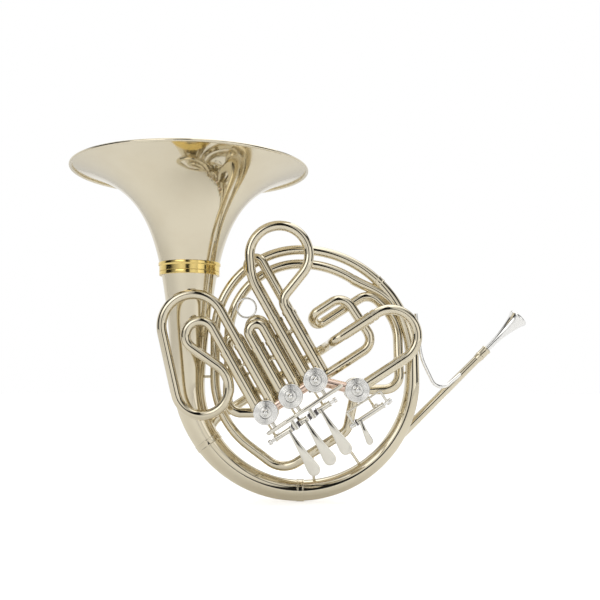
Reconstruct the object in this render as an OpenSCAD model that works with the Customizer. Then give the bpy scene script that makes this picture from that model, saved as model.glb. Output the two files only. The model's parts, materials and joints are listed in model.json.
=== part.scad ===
// Double horn in F and B flat, with a screw bell, three finger valves and a change valve.
// Origin: centre of the bell mouth. +Z: up the bell axis, out of the mouth.
// The coiled body lies in the XZ plane, and the finger levers are on its -Y side.

/* [Bell] */
// Diameter of the bell mouth
bell_mouth_d = 316; // [300:1:320]
// Depth over which the bell narrows to half of its mouth
flare_depth = 40.5; // [36:0.5:43]
// Radius the taper would reach if it never ended
taper_floor = 2; // [1:0.5:3]
// Depth of the screw ring below the mouth
ring_depth = 138; // [130:1:142]
// Thickness of the bell sheet
sheet_t = 0.9; // [0.7:0.1:1.2]

/* [Wrap] */
// Radius of the big outer wrap
wrap_r = 147; // [144:1:150]
// Height of the straight stretch between the lower and upper halves of the wrap
wrap_rise = 21; // [15:1:25]
// Depth of the wrap's lower centre below the mouth
wrap_depth = 276; // [270:1:280]

/* [Tubing] */
// Outside diameter of the cylindrical tubing and of the slide legs
tube_od = 12.8; // [12.4:0.1:13]
// Wall of the tubing
tube_wall = 0.5; // [0.4:0.1:0.6]
// Radial clearance of a slide leg in its outer tube
slide_gap = 0.05; // [0.03:0.01:0.08]
// Distance between the two legs of a valve slide
leg_pitch = 20; // [19:0.5:21]
// Angle of the valve slides from upright
slide_lean = 29.3; // [28:0.1:30]

/* [Valves] */
// Distance between neighbouring finger valves
valve_pitch = 37; // [36:0.5:38]
// Angle of the valve row from level
valve_rise = 33; // [32:0.5:34]
// Outside diameter of a rotary valve casing
casing_od = 30; // [29:0.5:31]
// Distance between the front deck (F) and the rear deck (B flat)
deck_pitch = 22; // [20:0.5:24]

/* [Levers] */
// Distance between neighbouring finger levers
lever_pitch = 23.5; // [22:0.5:25]
// Length of a finger lever from its hinge to the end of the paddle
lever_len = 65; // [58:1:70]
// Angle a lever turns when it is pressed
lever_throw = 14; // [12:0.5:15]

/* [Hidden] */

$fn = 96;
mouth_r = bell_mouth_d / 2;
leg_bore = tube_od + 2 * slide_gap;
sleeve_od = leg_bore + 2 * tube_wall;
seam = 0.01;

// Centres of the lower and upper halves of the wrap, as [x, z]
wrap_low = [wrap_r, -wrap_depth];
wrap_high = [wrap_r, -wrap_depth + wrap_rise];

// Depths of the tubing's layers, front to back
front_y = -41;
rear_y = front_y + deck_pitch;
body_y = 0;
lead_y = 26;

// Finger valve 2 stands here; the valve row and the slides are set out from it
valve_home = wrap_low + [-12, -24];
casing_front = front_y - 13;
casing_back = rear_y + 13;
casing_wall = 1.5;

// The change valve is one pitch past valve 1 and about as far below the row
change_drop = 39;
valve_places = [
    [valve_pitch, 0],
    [0, 0],
    [-valve_pitch, 0],
    [2 * valve_pitch, -change_drop]
];

// ---------- outlines and plain tubes ----------

// Section of a tube, or of a solid rod when the wall is half of the diameter
module ring2d(od, wall) {
    difference() {
        circle(d = od);
        if (2 * wall < od)
            circle(d = od - 2 * wall);
    }
}

module straight_tube(length, od = tube_od, wall = tube_wall) {
    if (length > 0.01)
        linear_extrude(length) ring2d(od, wall);
}

// The bent and straight lengths of a tube are separate sections, with a fine seam at each bend's ends
module bend_section(turn, radius, od, wall) {
    seam_turn = seam / radius * 180 / PI;
    rotate([0, 0, seam_turn])
        rotate_extrude(angle = turn - 2 * seam_turn)
            translate([radius, 0])
                ring2d(od, wall);
}

// A bend that starts at the origin going up Z and turns towards +X, or -X when negative
module elbow(turn, radius, od, wall) {
    rotate([0, 0, turn < 0 ? 180 : 0])
        translate([radius, 0, 0])
            rotate([90, 0, 180])
                bend_section(abs(turn), radius, od, wall);
}

// Where a bend leaves off
module after_elbow(turn, radius) {
    way = sign(turn);
    translate([way * radius * (1 - cos(turn)), 0, radius * sin(abs(turn))])
        rotate([0, turn, 0])
            children();
}

// A tube bent in one plane from a chart of [feed, turn, bend radius]
module bent_tube(chart, od = tube_od, wall = tube_wall, step = 0) {
    if (step < len(chart)) {
        feed = chart[step][0];
        turn = chart[step][1];
        radius = chart[step][2];
        straight_tube(feed, od, wall);
        translate([0, 0, feed])
            if (turn != 0) {
                elbow(turn, radius, od, wall);
                after_elbow(turn, radius)
                    bent_tube(chart, od, wall, step + 1);
            }
    }
}

// ---------- vectors ----------

function unit(v) = v / norm(v);
function spin(p, angle) = [p.x * cos(angle) - p.y * sin(angle), p.x * sin(angle) + p.y * cos(angle)];
function angle_between(a, b) = acos(max(-1, min(1, a * b)));
function heading(angle) = [cos(angle), sin(angle)];
// Where the line through p along d meets the line through q along e
function meet(p, d, q, e) =
    p + d * ((q.x - p.x) * e.y - (q.y - p.y) * e.x) / (d.x * e.y - d.y * e.x);
// A place in the wrap's plane, set at depth y
function at_depth(p, y) = [p.x, y, p.y];
// A place given along and across the valve row
function from_row(p) = valve_home + spin(p, valve_rise);

// Turns Z to point along d
module along(d) {
    rotate([0, acos(d.z / norm(d)), atan2(d.y, d.x)])
        children();
}

// A tube through corner points, each inner corner rounded by its own radius
module routed_tube(points, radii, od = tube_od, wall = tube_wall) {
    last = len(points) - 1;
    ways = [for (i = [0:last - 1]) unit(points[i + 1] - points[i])];
    turns = [for (i = [0:last]) i == 0 || i == last ? 0 : angle_between(ways[i - 1], ways[i])];
    cuts = [for (i = [0:last]) i == 0 || i == last ? 0 : radii[i - 1] * tan(turns[i] / 2)];
    for (i = [0:last - 1])
        translate(points[i] + ways[i] * cuts[i])
            along(ways[i])
                straight_tube(norm(points[i + 1] - points[i]) - cuts[i] - cuts[i + 1], od, wall);
    for (i = [1:1:last - 1])
        corner_bend(points[i], ways[i - 1], ways[i], cuts[i], radii[i - 1], turns[i], od, wall);
}

// The round part of one corner of a routed tube
module corner_bend(corner, way_in, way_out, cut, radius, turn, od, wall) {
    inward = unit(way_out - way_in * (way_in * way_out));
    start = corner - way_in * cut;
    centre = start + inward * radius;
    axis = cross(-inward, way_in);
    multmatrix([
        [-inward.x, way_in.x, axis.x, centre.x],
        [-inward.y, way_in.y, axis.y, centre.y],
        [-inward.z, way_in.z, axis.z, centre.z],
        [0, 0, 0, 1]
    ])
        bend_section(turn, radius, od, wall);
}

// ---------- working frames ----------

// Valve row: X along the row towards valve 1, Z up and away from the levers
module on_row(y = 0) {
    translate(at_depth(valve_home, y))
        rotate([0, -valve_rise, 0])
            children();
}

// One valve's slides: Z runs out along the legs, X across them
module on_slides(i, y) {
    translate(at_depth(from_row(valve_places[i]), y))
        rotate([0, -slide_lean, 0])
            children();
}

// A round bar lying along -Y to +Y, from depth y0 to y1
module bar_y(d, y0, y1) {
    translate([0, y1, 0])
        rotate([90, 0, 0])
            cylinder(d = d, h = y1 - y0);
}

// ---------- bell ----------

// Radius of the bell bore at a distance down its axis
function bell_r(s) = taper_floor + (mouth_r - taper_floor) * flare_depth / (s + flare_depth);

rim_wire_d = 4;
flare_rings = 40;
thread_len = 9;

// Points of the flare close together at the mouth, where it turns fastest
flare_top = rim_wire_d / 2;
function flare_s(i) = flare_top + (ring_depth - thread_len - flare_top) * pow(i / flare_rings, 2);
// Direction from the outside of the sheet to its inside
function flare_inward(s) = unit([-1, (mouth_r - taper_floor) * flare_depth / pow(s + flare_depth, 2)]);

module bell_flare() {
    stops = [for (i = [0:flare_rings]) flare_s(i)];
    outer = [for (s = stops) [bell_r(s), -s]];
    inner = [for (i = [flare_rings:-1:0]) outer[i] + sheet_t * flare_inward(stops[i])];
    wire_x = mouth_r - rim_wire_d / 2;
    flat_x = wire_x - 1;
    brim = [[inner[flare_rings].x, 0], [flat_x, 0], [wire_x, -sheet_t], [wire_x, -flare_top]];
    color("gainsboro")
        rotate_extrude() {
            polygon(concat(outer, inner, brim));
            translate([wire_x, -rim_wire_d / 2])
                circle(d = rim_wire_d, $fn = 32);
        }
}

ring_r = bell_r(ring_depth) + 2.4;
ring_lip = 1.2;
ring_top = ring_depth - 12;
spigot_r = bell_r(ring_depth) + 1.2;

module bell_ring_upper() {
    bore_r = spigot_r + slide_gap;
    color("goldenrod")
        rotate_extrude()
            polygon([
                [bore_r, -ring_depth],
                [ring_r, -ring_depth],
                [ring_r, -ring_top - 5],
                [ring_r + ring_lip, -ring_top - 3.5],
                [ring_r + ring_lip, -ring_top],
                [bell_r(ring_top), -ring_top],
                [bell_r(ring_depth - thread_len), -ring_depth + thread_len],
                [bore_r, -ring_depth + thread_len]
            ]);
}

ring_low_h = 5;
module bell_ring_lower() {
    seam = 0.2;
    inner_r = bell_r(ring_depth) - sheet_t;
    color("goldenrod")
        rotate_extrude()
            polygon([
                [inner_r, -ring_depth + thread_len - 1.5],
                [spigot_r, -ring_depth + thread_len - 1.5],
                [spigot_r, -ring_depth - seam],
                [ring_r, -ring_depth - seam],
                [ring_r, -ring_depth - ring_low_h],
                [inner_r, -ring_depth - ring_low_h]
            ]);
}

// ---------- tapered wrap ----------

tail_end = wrap_depth + wrap_r * PI / 2;
branch_end = wrap_depth + wrap_r * PI + wrap_rise + wrap_r * PI / 4;

// Degrees turned by the wrap at a distance from the mouth
function wrap_turn(s) =
    let (low = (s - wrap_depth) / wrap_r, rise = (s - wrap_depth - wrap_rise) / wrap_r)
    s < wrap_depth ? 0 : low < PI ? low * 180 / PI : max(180, rise * 180 / PI);
// Centre of the wrap's tube at a distance from the mouth
function wrap_point(s) =
    s < wrap_depth ? [0, -s]
    : s < wrap_depth + wrap_r * PI ? wrap_low - wrap_r * heading(wrap_turn(s))
    : s < wrap_depth + wrap_r * PI + wrap_rise ? [2 * wrap_r, s - 2 * wrap_depth - wrap_r * PI]
    : wrap_high - wrap_r * heading(wrap_turn(s));
// Outside radius of the wrap: the bell's taper, led down to the tube at the branch's end
function branch_part(s) = max(0, (s - tail_end) / (branch_end - tail_end));
function wrap_tube_r(s) = bell_r(s) - (bell_r(branch_end) - tube_od / 2) * pow(branch_part(s), 3);

function wrap_loop(s, r, sides) = [
    for (k = [0:sides - 1])
        let (c = wrap_point(s), n = heading(wrap_turn(s)), a = k * 360 / sides)
        [c.x + r * cos(a) * n.x, r * sin(a), c.y + r * cos(a) * n.y]
];

// Hollow tapered tube along the wrap from s0 to s1
module wrap_taper(s0, s1, steps, sides = 28) {
    stops = [for (i = [0:steps]) s0 + (s1 - s0) * i / steps];
    outside = [for (s = stops) each wrap_loop(s, wrap_tube_r(s), sides)];
    inside = [for (s = stops) each wrap_loop(s, wrap_tube_r(s) - sheet_t, sides)];
    count = len(outside);
    skin = [for (i = [0:steps - 1]) for (k = [0:sides - 1])
        [i * sides + k, i * sides + (k + 1) % sides, (i + 1) * sides + (k + 1) % sides, (i + 1) * sides + k]];
    lining = [for (f = skin) [count + f[3], count + f[2], count + f[1], count + f[0]]];
    near = [for (k = [0:sides - 1]) [count + k, count + (k + 1) % sides, (k + 1) % sides, k]];
    far = [for (f = near) [for (j = [3:-1:0]) f[j] + steps * sides]];
    polyhedron(concat(outside, inside), concat(skin, lining, near, far), convexity = 8);
}

module bell_tail() {
    color("gainsboro") wrap_taper(ring_depth + ring_low_h, tail_end, 34);
}

module bell_branch() {
    color("gainsboro") wrap_taper(tail_end, branch_end, 52);
}

// ---------- wrap tubing ----------

return_r = 112;
return_sag = 37;
return_row_z = -77;

// From the end of the branch, over the top, down the left inside and back to the change valve
module return_tube() {
    start = wrap_high + wrap_r * heading(45);
    top_z = wrap_high.y + wrap_r;
    left_x = wrap_r - return_r;
    low_left = [left_x, wrap_low.y - return_r * tan((90 - return_sag) / 2)];
    under_row = from_row([0, return_row_z]);
    low_right = meet(low_left, heading(-return_sag), under_row, heading(valve_rise));
    valve_in = from_row(valve_places[3] - (casing_od / 2 - 0.5) * heading(45));
    below_valve = meet(valve_in, heading(valve_rise + 45), under_row, heading(valve_rise));
    points = [
        at_depth(start, body_y),
        at_depth([wrap_r + wrap_r * tan(22.5), top_z], body_y),
        at_depth([left_x, top_z], body_y),
        at_depth(low_left, body_y),
        at_depth(low_right, body_y),
        at_depth(below_valve, rear_y),
        at_depth(valve_in, rear_y)
    ];
    color("gainsboro") routed_tube(points, [wrap_r, return_r, return_r, 32, 18]);
}

crook_low_z = -3;
crook_high_z = 72;
crook_right_x = 128;
crook_left_x = 77;
cross_z = 57;
cross_x = 100;
inner_r = 128;

function row_at(x, z, y) = at_depth(from_row([x, z]), y);

// From valve 1 out to the right, up, back and round on to the cross tube
module f_crook() {
    points = [
        row_at(valve_pitch + casing_od / 2 - 0.5, crook_low_z, rear_y),
        row_at(crook_right_x, crook_low_z, rear_y),
        row_at(crook_right_x, crook_high_z, rear_y),
        row_at(crook_left_x, crook_high_z, rear_y),
        row_at(crook_left_x, cross_z, body_y),
        row_at(cross_x, cross_z, body_y)
    ];
    color("gainsboro") routed_tube(points, [18, 18, 11, 11]);
}

// From the crook to the inner circle, down its right side and hooked into the change valve
module cross_tube() {
    rim_point = wrap_high + inner_r * heading(45);
    right_x = wrap_r + inner_r;
    shoulder = meet(from_row([cross_x, cross_z]), heading(valve_rise), rim_point, heading(135));
    hook_z = from_row(valve_places[3]).y;
    points = [
        row_at(cross_x, cross_z, body_y),
        at_depth(shoulder, body_y),
        at_depth([right_x, wrap_high.y + inner_r * tan(22.5)], body_y),
        at_depth([right_x, hook_z], rear_y),
        at_depth([from_row(valve_places[3]).x + casing_od / 2 - 1.5, hook_z], rear_y)
    ];
    color("gainsboro") routed_tube(points, [20, 60, 20]);
}

inner_drop = 18;
inner_left_x = wrap_r - return_r + inner_drop;

// Inside the return tube: over the top, down the left side and into valve 3
module inner_arc() {
    start = wrap_high + inner_r * heading(55);
    top_z = wrap_high.y + inner_r;
    valve_in = from_row(valve_places[2]) - [casing_od / 2 - 0.9, 2];
    points = [
        at_depth(start, body_y),
        at_depth([wrap_r + inner_r * tan(17.5), top_z], body_y),
        at_depth([inner_left_x, top_z], body_y),
        at_depth([inner_left_x, wrap_low.y + 20], body_y),
        at_depth([inner_left_x, valve_in.y], rear_y),
        at_depth(valve_in, rear_y)
    ];
    color("gainsboro") routed_tube(points, [inner_r, return_r - inner_drop, 40, 18]);
}

// ---------- leadpipe and mouthpiece ----------

lead_r = 150;
lead_turn_r = 30;
main_high_z = 28;
lead_in_od = 10.4;
receiver_end = [399, -239];
receiver_len = 20;

// The leadpipe leaves the receiver on a straight tangent to its circle
lead_reach = norm(receiver_end - wrap_low);
lead_straight = sqrt(lead_reach * lead_reach - lead_r * lead_r);
lead_heading = 180 + atan2(receiver_end.y - wrap_low.y, receiver_end.x - wrap_low.x)
    + asin(lead_r / lead_reach);
lead_way = heading(lead_heading);
lead_out = receiver_end + lead_way * lead_straight;
lead_taper = lead_straight - receiver_len;

// Where the circle hands over to the run below the slides, seen along the valve row
lead_centre = spin(wrap_low - valve_home, -valve_rise);
lead_dip = asin((lead_turn_r - main_high_z + lead_centre.y) / (lead_r - lead_turn_r));
lead_arc = lead_heading - valve_rise - 90 - lead_dip;
main_leg_x0 = 98;
lead_rise_x = 79;

module leadpipe() {
    turn_x = lead_centre.x - (lead_r - lead_turn_r) * cos(lead_dip);
    run = [
        row_at(turn_x, main_high_z, lead_y),
        row_at(lead_rise_x, main_high_z, lead_y),
        row_at(lead_rise_x + 3, main_high_z, front_y),
        row_at(main_leg_x0, main_high_z, front_y)
    ];
    color("gainsboro") {
        translate(at_depth(receiver_end + lead_way * receiver_len, lead_y))
            along(at_depth(lead_way, 0))
                difference() {
                    cylinder(d1 = lead_in_od, d2 = tube_od, h = lead_taper);
                    translate([0, 0, -0.001])
                        cylinder(
                            d1 = lead_in_od - 2 * tube_wall,
                            d2 = tube_od - 2 * tube_wall,
                            h = lead_taper + 0.002
                        );
                }
        translate(at_depth(lead_out, lead_y))
            rotate([0, 90 - lead_heading, 0])
                bent_tube([[0, lead_arc, lead_r], [0, 90 + lead_dip, lead_turn_r]]);
        routed_tube(run, [16, 12]);
    }
}

module mouthpiece_receiver() {
    bore_d = shank_d + 2 * slide_gap;
    color("silver")
        translate(at_depth(receiver_end, lead_y))
            along(at_depth(lead_way, 0))
                rotate_extrude()
                    polygon([
                        [bore_d / 2, 0],
                        [receiver_od / 2 - 1, 0],
                        [receiver_od / 2, 1],
                        [receiver_od / 2, receiver_len - 2],
                        [receiver_od / 2 - 1.5, receiver_len],
                        [bore_d / 2, receiver_len]
                    ]);
}

receiver_od = 13.2;
shank_d = 7.6;
shank_in = 17;
mouthpiece_out = 62;
rim_d = 26.5;
cup_d = 17.5;

module mouthpiece() {
    cup_z = mouthpiece_out - 24;
    color("white")
        translate(at_depth(receiver_end, lead_y))
            along(-at_depth(lead_way, 0))
                rotate_extrude()
                    polygon([
                        [2.4, -shank_in],
                        [shank_d / 2, -shank_in],
                        [shank_d / 2, 0.5],
                        [4.2, cup_z - 18],
                        [6.6, cup_z - 3],
                        [9.9, cup_z + 9],
                        [rim_d / 2 - 1.2, cup_z + 19],
                        [rim_d / 2, mouthpiece_out - 3.2],
                        [rim_d / 2 - 0.8, mouthpiece_out - 0.8],
                        [rim_d / 2 - 2.4, mouthpiece_out],
                        [cup_d / 2, mouthpiece_out - 1],
                        [cup_d / 2 - 1.4, mouthpiece_out - 8],
                        [2.2, cup_z]
                    ]);
}

guard_d = 4.6;
module guard_wire() {
    side_x = 2 * wrap_r + 12;
    lead_spot = at_depth(receiver_end + lead_way * 38, lead_y);
    low_bend = [side_x + 24, lead_y / 2, wrap_low.y - 22];
    points = [
        [side_x - 6, body_y, wrap_high.y + 62],
        [side_x, body_y, wrap_low.y + 25],
        low_bend,
        lead_spot + unit(low_bend - lead_spot) * lead_in_od / 2
    ];
    color("silver") routed_tube(points, [60, 18], guard_d, guard_d / 2);
}

ferrule_len = 9;
ferrule_t = 0.9;

// A band round the wrap at a distance from the mouth
module wrap_band(s) {
    turn = wrap_turn(s);
    c = wrap_point(s);
    translate(at_depth(c, body_y))
        rotate([0, -turn, 0])
            translate([0, 0, -ferrule_len / 2])
                straight_tube(ferrule_len, 2 * (wrap_tube_r(s) + ferrule_t), ferrule_t);
}

module ferrules() {
    color("silver") {
        wrap_band(wrap_depth + wrap_r * 0.62);
        wrap_band(tail_end);
        wrap_band(branch_end);
    }
}

// A short round strut between two places
module strut(p, q, d = 3.6) {
    translate(p)
        along(q - p)
            cylinder(d = d, h = norm(q - p), $fn = 24);
}

module braces() {
    right_x = wrap_r + inner_r;
    level_z = wrap_low.y + 5;
    lead_under = at_depth(wrap_low - [0, lead_r], lead_y);
    color("silver") {
        strut([right_x + 5, body_y, level_z], [2 * wrap_r - 8, body_y, level_z]);
        strut([wrap_r - return_r - 5, body_y, wrap_low.y], [15, body_y, wrap_low.y]);
        strut([wrap_r, body_y, wrap_low.y - wrap_r - 8], lead_under + [0, -4, 2]);
        for (x = [-20, 25]) {
            outward = unit(from_row([x, return_row_z]) - wrap_low);
            strut(
                row_at(x, return_row_z - 5, body_y - 2),
                at_depth(wrap_low + (wrap_r - 9) * outward, body_y)
            );
        }
    }
}

// ---------- main tuning slide ----------

main_low_z = -change_drop;
main_mouth_x = 140;
main_bow_x = 148;
main_bow_r = (main_high_z - main_low_z) / 2;
main_leg_in = 3;

// A tube lying along the valve row
module row_tube(x0, x1, z, y, od, wall) {
    on_row(y)
        translate([x0, 0, z])
            rotate([0, 90, 0])
                straight_tube(x1 - x0, od, wall);
}

module main_slide_sleeves() {
    low_x0 = valve_places[3].x + casing_od / 2 - 0.2;
    color("gainsboro")
        for (leg = [[main_leg_x0, main_high_z], [low_x0, main_low_z]]) {
            row_tube(leg.x, main_mouth_x, leg.y, front_y, sleeve_od, tube_wall);
            row_tube(main_mouth_x - 6, main_mouth_x, leg.y, front_y, sleeve_od + 1.4, 0.7);
        }
}

module main_tuning_slide() {
    leg = main_bow_x - main_leg_x0 - main_leg_in;
    color("gainsboro") {
        on_row(front_y)
            translate([main_leg_x0 + main_leg_in, 0, main_high_z])
                rotate([0, 90, 0])
                    bent_tube([[leg, 180, main_bow_r], [leg, 0, 0]]);
        for (z = [main_high_z, main_low_z])
            row_tube(main_bow_x - 6, main_bow_x - 1, z, front_y, tube_od + 2, 1);
    }
}

// ---------- valve slides ----------

front_offset = 2;
rear_offset = 5;
sleeve_a0 = casing_od / 2 - 1.2;
leg_a0 = 20;

// How far out the outer tubes reach, valves 1 to 3
front_mouth = [95, 75, 92];
rear_mouth = [92, 78, 76];

module sleeve_pair(i, y, offset, mouth) {
    on_slides(i, y)
        for (side = [-1, 1])
            translate([offset + side * leg_pitch / 2, 0, sleeve_a0]) {
                straight_tube(mouth - sleeve_a0, sleeve_od, tube_wall);
                translate([0, 0, mouth - sleeve_a0 - 5])
                    straight_tube(5, sleeve_od + 1.4, 0.7);
            }
}

module f_slide_sleeves() {
    color("gainsboro")
        for (i = [0:2])
            sleeve_pair(i, front_y, front_offset, front_mouth[i]);
}

module bb_slide_sleeves() {
    color("gainsboro")
        for (i = [0:2])
            sleeve_pair(i, rear_y, rear_offset, rear_mouth[i]);
}

// A slide whose tube follows a chart, starting inside the left or right outer tube
module valve_slide(i, y, offset, side, chart) {
    on_slides(i, y)
        translate([offset + side * leg_pitch / 2, 0, leg_a0])
            bent_tube(chart);
}

// Where a chart's tube ends, as [across, along, turn]
function chart_end(chart, step = 0, at = [0, 0, 0]) =
    step == len(chart) ? at
    : let (
        feed = chart[step][0],
        turn = chart[step][1],
        r = sign(turn) * chart[step][2],
        t = at[2],
        u = t + turn,
        x = at[0] + feed * sin(t) + r * (cos(t) - cos(u)),
        z = at[1] + feed * cos(t) - r * (sin(t) - sin(u))
    )
    chart_end(chart, step + 1, [x, z, u]);

// A plain U
function u_chart(reach) = [
    [reach - leg_a0, 180, leg_pitch / 2],
    [reach - leg_a0, 0, 0]
];

// A keyhole: a lean, a bulb that turns past the half circle, and a neck back on to the other leg
function keyhole_chart(reach, bulb_r, neck_r) =
    let (
        lean = [reach - leg_a0, 25, 70],
        bulb = [12, 223, bulb_r],
        neck_turn = lean[1] + bulb[1] - 180,
        short = chart_end([lean, bulb, [0, -neck_turn, neck_r]]),
        top = [lean, bulb, [(short[0] - leg_pitch) / sin(neck_turn), -neck_turn, neck_r]]
    )
    concat(top, [[chart_end(top)[1], 0, 0]]);

// A coil: over the top, down the far side, round the bottom and back up to a small hook
function coil_chart(reach, top_r, side, low_r, hook_r) =
    let (
        side_turn = 164,
        back_turn = 26,
        first = [[reach - leg_a0, -side_turn, top_r], [side, side_turn - 360 - back_turn, low_r]],
        back = chart_end(first),
        hook_span = hook_r * (1 + cos(back_turn)),
        climb = (back[0] + hook_span + leg_pitch) / sin(back_turn),
        coil = concat(first, [[climb, 180 + back_turn, hook_r]])
    )
    concat(coil, [[chart_end(coil)[1], 0, 0]]);

module f_slide_1() {
    color("gainsboro")
        valve_slide(0, front_y, front_offset, -1, keyhole_chart(137, 38, 16));
}

module f_slide_2() {
    color("gainsboro")
        valve_slide(1, front_y, front_offset, -1, u_chart(92));
}

module f_slide_3() {
    color("gainsboro")
        valve_slide(2, front_y, front_offset, 1, coil_chart(141, 40, 80, 34, 18.5));
}

rear_reach = [167, 98, 96];

module bb_slide_1() {
    color("gainsboro") valve_slide(0, rear_y, rear_offset, -1, u_chart(rear_reach[0]));
}

module bb_slide_2() {
    color("gainsboro") valve_slide(1, rear_y, rear_offset, -1, u_chart(rear_reach[1]));
}

module bb_slide_3() {
    color("gainsboro") valve_slide(2, rear_y, rear_offset, -1, u_chart(rear_reach[2]));
}

pull_ring_r = 12.5;
pull_ring_wire = 2.4;

module pull_ring() {
    crook_top = rear_reach[1] + leg_pitch / 2 + tube_od / 2;
    color("silver")
        on_slides(1, rear_y)
            translate([rear_offset, 0, crook_top + pull_ring_r])
                rotate([90, 0, 0])
                    rotate_extrude()
                        translate([pull_ring_r, 0])
                            circle(d = pull_ring_wire, $fn = 32);
}

// ---------- valves ----------

casing_bore = casing_od - 2 * casing_wall;
plate_t = 3;
plate_back = casing_back + plate_t;
stem_d = 7;

module at_valve(i) {
    on_row()
        translate([valve_places[i].x, 0, valve_places[i].y])
            children();
}

module valve_casing(i) {
    color("silver")
        at_valve(i)
            difference() {
                bar_y(casing_od, casing_front, casing_back);
                bar_y(casing_bore, casing_front - 1, casing_back + 1);
            }
}

module valve_casing_1() { valve_casing(0); }
module valve_casing_2() { valve_casing(1); }
module valve_casing_3() { valve_casing(2); }
module change_valve_casing() { valve_casing(3); }

// Short tubes that join one casing to the next, on both decks
module valve_knuckles() {
    gap = valve_pitch - casing_od;
    color("peru") {
        for (x = [-valve_pitch + casing_od / 2, casing_od / 2], y = [front_y, rear_y])
            row_tube(x - 0.5, x + gap + 0.5, 0, y, tube_od + 1, 1);
        on_row(front_y)
            translate([valve_pitch, 0, 0])
                rotate([0, 90 + atan2(change_drop, valve_pitch), 0])
                    translate([0, 0, casing_od / 2 - 0.3])
                        straight_tube(norm([change_drop, valve_pitch]) - casing_od + 0.6);
    }
}

cap_t = 4;
module valve_cap() {
    r = casing_od / 2;
    translate([0, casing_front, 0])
        rotate([90, 0, 0])
            rotate_extrude()
                polygon([
                    [0, 0],
                    [r + 0.6, 0],
                    [r + 0.6, 1.8],
                    [r - 0.4, 2.6],
                    [r * 0.72, 3.1],
                    [r * 0.70, 2.6],
                    [r * 0.62, 2.6],
                    [r * 0.60, 3.3],
                    [r * 0.30, cap_t],
                    [r * 0.22, cap_t + 1.6],
                    [r * 0.12, cap_t + 2.4],
                    [0, cap_t + 2.4]
                ]);
}

module valve_caps() {
    color("whitesmoke")
        for (i = [0:3])
            at_valve(i) valve_cap();
}

module valve_back_plates() {
    color("silver")
        for (i = [0:3])
            at_valve(i)
                difference() {
                    bar_y(casing_od, casing_back, plate_back);
                    bar_y(stem_d + 2 * slide_gap, casing_back - 1, plate_back + 1);
                }
}

hinge_y = casing_front - 2;
link_y = plate_back + 8;
tail_len = link_y - hinge_y + 1;
stop_arm_r = tail_len * sin(lever_throw) / sqrt(2);
arm_pin_d = 3;
arm_y0 = plate_back + 2.5;
arm_t = 3;
link_t = 3;

// A rotor with two passages on each deck and a stem that reaches the stop arm
module rotor(i) {
    passage_d = tube_od - 2 * tube_wall - 1;
    color("burlywood")
        at_valve(i) {
            difference() {
                bar_y(casing_bore - 2 * slide_gap, casing_front + 1.5, casing_back - 1.5);
                for (y = [front_y, rear_y], side = [-1, 1])
                    translate([side * casing_bore / 2, y, -casing_bore])
                        cylinder(d = passage_d, h = 2 * casing_bore);
            }
            bar_y(stem_d, casing_back - 2, arm_y0 + arm_t + 0.5);
        }
}

module rotor_1() { rotor(0); }
module rotor_2() { rotor(1); }
module rotor_3() { rotor(2); }
module change_rotor() { rotor(3); }

// The finger valves take their link on the left, the change valve on the right
function link_side(i) = i == 3 ? 1 : -1;

module flat_bar(length, width, y0, t) {
    translate([0, y0, -width / 2])
        cube([length, t, width]);
}

module stop_arm(i) {
    tail = 9;
    side = link_side(i);
    pin_angle = side < 0 ? 135 : 45;
    color("silver")
        at_valve(i) {
            difference() {
                union() {
                    bar_y(12, arm_y0, arm_y0 + arm_t);
                    rotate([0, pin_angle, 0]) flat_bar(stop_arm_r, 5, arm_y0, arm_t);
                    rotate([0, pin_angle + 180, 0]) flat_bar(tail, 4, arm_y0, arm_t);
                    rotate([0, pin_angle, 0])
                        translate([stop_arm_r, 0, 0])
                            bar_y(5, arm_y0, arm_y0 + arm_t);
                }
                bar_y(stem_d, arm_y0 - 1, arm_y0 + arm_t + 1);
            }
            rotate([0, pin_angle, 0])
                translate([stop_arm_r, 0, 0])
                    bar_y(arm_pin_d, arm_y0 + arm_t - 0.5, link_y + link_t);
        }
}

module stop_arm_1() { stop_arm(0); }
module stop_arm_2() { stop_arm(1); }
module stop_arm_3() { stop_arm(2); }
module change_stop_arm() { stop_arm(3); }

// Two cork posts on each back plate, one at each end of the stop arm's travel
module stop_bumpers() {
    post_r = 9.5;
    spread = 45 + 28;
    color("saddlebrown")
        for (i = [0:3])
            at_valve(i)
                for (way = [-1, 1])
                    rotate([0, (link_side(i) < 0 ? 0 : 180) + way * spread, 0])
                        translate([post_r, 0, 0])
                            bar_y(4, plate_back, arm_y0 + arm_t);
}

hinge_z = -34;
function hinge_height(i) = i == 3 ? -change_drop - 33 : hinge_z;
function link_x(i) = valve_places[i].x + link_side(i) * stop_arm_r * (1 + cos(45)) / 2;

// The link has a cross slot for the stop arm's pin and a slot for the lever's pin
module link(i) {
    play = 0.6;
    pin_z = valve_places[i].y - stop_arm_r * sin(45);
    sway = stop_arm_r * (1 - cos(45)) / 2 + play;
    slot_d = arm_pin_d + 2 * play;
    foot_z = hinge_height(i);
    color("silver")
        on_row()
            translate([link_x(i), 0, 0]) {
                translate([0, link_y, pin_z])
                    difference() {
                        translate([-sway - 4, -link_t / 2, -slot_d / 2 - 1.8])
                            cube([2 * sway + 8, link_t, slot_d + 3.6]);
                        for (x = [-sway, sway])
                            translate([x, 0, 0]) bar_y(slot_d, -link_t, link_t);
                        translate([-sway, -link_t, -slot_d / 2])
                            cube([2 * sway, 2 * link_t, slot_d]);
                    }
                translate([0, link_y, foot_z + 5])
                    cylinder(d = 3, h = pin_z - slot_d / 2 - 1.5 - foot_z - 5);
                translate([-1.5, link_y - 4.5, foot_z - 4])
                    difference() {
                        cube([3, 9, 9.5]);
                        translate([-1, 2, 4 - slot_d / 2])
                            cube([5, 5, slot_d]);
                    }
            }
}

module link_1() { link(0); }
module link_2() { link(1); }
module link_3() { link(2); }
module change_link() { link(3); }

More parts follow.
